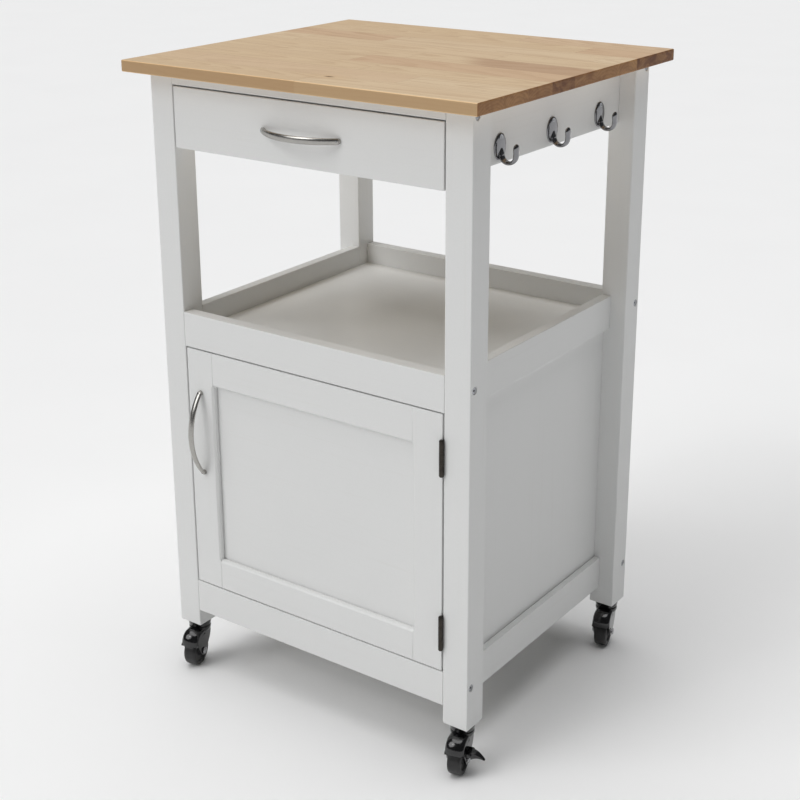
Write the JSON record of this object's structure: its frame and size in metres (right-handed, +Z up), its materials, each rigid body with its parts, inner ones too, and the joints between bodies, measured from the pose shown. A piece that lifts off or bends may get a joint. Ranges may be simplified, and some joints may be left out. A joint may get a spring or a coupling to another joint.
{
  "type": "kitchen island cart",
  "caption": "Rolling kitchen cart with a wood worktop, a drawer, an open shelf, a cabinet with a hinged door, side hooks and casters.",
  "frame": {"origin": "on the floor, below the middle of the worktop", "axes": "+X to the right, +Y to the rear, +Z up; the drawer and door face -Y"},
  "size_m": [0.564, 0.498, 0.914],
  "materials": {
    "white_paint": "white satin paint on wood",
    "butcher_block": "oiled butcher block of finger-jointed staves",
    "pine": "bare planed softwood",
    "satin_nickel": "satin nickel plate",
    "chrome_plate": "bright chrome plate",
    "zinc_steel": "zinc-plated steel",
    "dark_steel": "dark bronzed steel",
    "white_plastic": "moulded white plastic",
    "black_gloss": "glossy black nylon",
    "wheel_black": "satin black wheel with a steel axle"
  },
  "bodies": {
    "frame": {"worktop": "butcher_block", "leg_front_left": "white_paint", "leg_front_right": "white_paint", "leg_rear_left": "white_paint", "leg_rear_right": "white_paint", "front_stretcher": "white_paint", "side_apron_left": "white_paint", "side_apron_right": "white_paint", "rear_apron": "white_paint", "front_mid_rail": "white_paint", "side_mid_rail_left": "white_paint", "side_mid_rail_right": "white_paint", "rear_mid_rail": "white_paint", "front_bottom_rail": "white_paint", "side_bottom_rail_left": "white_paint", "side_bottom_rail_right": "white_paint", "rear_bottom_rail": "white_paint", "open_shelf": "white_paint", "cabinet_floor": "white_paint", "inner_shelf": "white_paint", "shelf_pins": "zinc_steel", "cleats": "pine", "side_panel_left": "white_paint", "side_panel_right": "white_paint", "rear_panel": "white_paint", "drawer_runners": "pine", "hinge_leg_leaves": "dark_steel", "hinge_pins": "dark_steel", "magnetic_catch": "white_plastic", "hooks": "chrome_plate", "frame_screws": "zinc_steel", "cross_bolts": "zinc_steel", "threaded_nuts": "zinc_steel", "caster_stems": "black_gloss"},
    "drawer": {"drawer_front": "white_paint", "drawer_side_left": "pine", "drawer_side_right": "pine", "drawer_back": "pine", "drawer_bottom": "pine", "drawer_handle": "satin_nickel", "drawer_screws": "zinc_steel"},
    "door": {"door_stile_left": "white_paint", "door_stile_right": "white_paint", "door_top_rail": "white_paint", "door_bottom_rail": "white_paint", "door_panel": "white_paint", "door_handle": "satin_nickel", "door_screws": "dark_steel", "hinge_door_leaves": "dark_steel", "strike_plate": "zinc_steel"},
    "caster_front_left": {"fork_front_left": "black_gloss"},
    "wheel_front_left": {"wheel_front_left": "wheel_black"},
    "caster_front_right": {"fork_front_right": "black_gloss"},
    "wheel_front_right": {"wheel_front_right": "wheel_black"},
    "caster_rear_left": {"fork_rear_left": "black_gloss"},
    "wheel_rear_left": {"wheel_rear_left": "wheel_black"},
    "caster_rear_right": {"fork_rear_right": "black_gloss"},
    "wheel_rear_right": {"wheel_rear_right": "wheel_black"},
    "brake_front_right": {"brake_lever_front_right": "black_gloss"},
    "brake_rear_left": {"brake_lever_rear_left": "black_gloss"}
  },
  "joints": [
    {"name": "drawer_slide", "type": "slide", "parent": "frame", "child": "drawer", "axis": [0, -1, 0], "range_m": [0, 0.28]},
    {"name": "door_hinge", "type": "hinge", "parent": "frame", "child": "door", "pos_m": [0.21785, -0.2235, 0.3305], "axis": [0, 0, 1], "range_deg": [0, 170]},
    {"name": "caster_swivel_front_left", "type": "hinge", "parent": "frame", "child": "caster_front_left", "pos_m": [-0.2385, -0.2005, 0.057], "axis": [0, 0, 1], "continuous": true},
    {"name": "wheel_spin_front_left", "type": "hinge", "parent": "caster_front_left", "child": "wheel_front_left", "pos_m": [-0.23436, -0.21596, 0.023], "axis": [0.9659, 0.2588, 0], "continuous": true},
    {"name": "caster_swivel_front_right", "type": "hinge", "parent": "frame", "child": "caster_front_right", "pos_m": [0.2385, -0.2005, 0.057], "axis": [0, 0, 1], "continuous": true},
    {"name": "wheel_spin_front_right", "type": "hinge", "parent": "caster_front_right", "child": "wheel_front_right", "pos_m": [0.24264, -0.21596, 0.023], "axis": [0.9659, 0.2588, 0], "continuous": true},
    {"name": "caster_swivel_rear_left", "type": "hinge", "parent": "frame", "child": "caster_rear_left", "pos_m": [-0.2385, 0.2045, 0.057], "axis": [0, 0, 1], "continuous": true},
    {"name": "wheel_spin_rear_left", "type": "hinge", "parent": "caster_rear_left", "child": "wheel_rear_left", "pos_m": [-0.23436, 0.18904, 0.023], "axis": [0.9659, 0.2588, 0], "continuous": true},
    {"name": "caster_swivel_rear_right", "type": "hinge", "parent": "frame", "child": "caster_rear_right", "pos_m": [0.2385, 0.2045, 0.057], "axis": [0, 0, 1], "continuous": true},
    {"name": "wheel_spin_rear_right", "type": "hinge", "parent": "caster_rear_right", "child": "wheel_rear_right", "pos_m": [0.24264, 0.18904, 0.023], "axis": [0.9659, 0.2588, 0], "continuous": true},
    {"name": "brake_press_front_right", "type": "hinge", "parent": "caster_front_right", "child": "brake_front_right", "pos_m": [0.25955, -0.21143, 0.034], "axis": [-0.2588, 0.9659, 0], "range_deg": [0, 15]},
    {"name": "brake_press_rear_left", "type": "hinge", "parent": "caster_rear_left", "child": "brake_rear_left", "pos_m": [-0.21746, 0.19357, 0.034], "axis": [-0.2588, 0.9659, 0], "range_deg": [0, 15]}
  ]
}
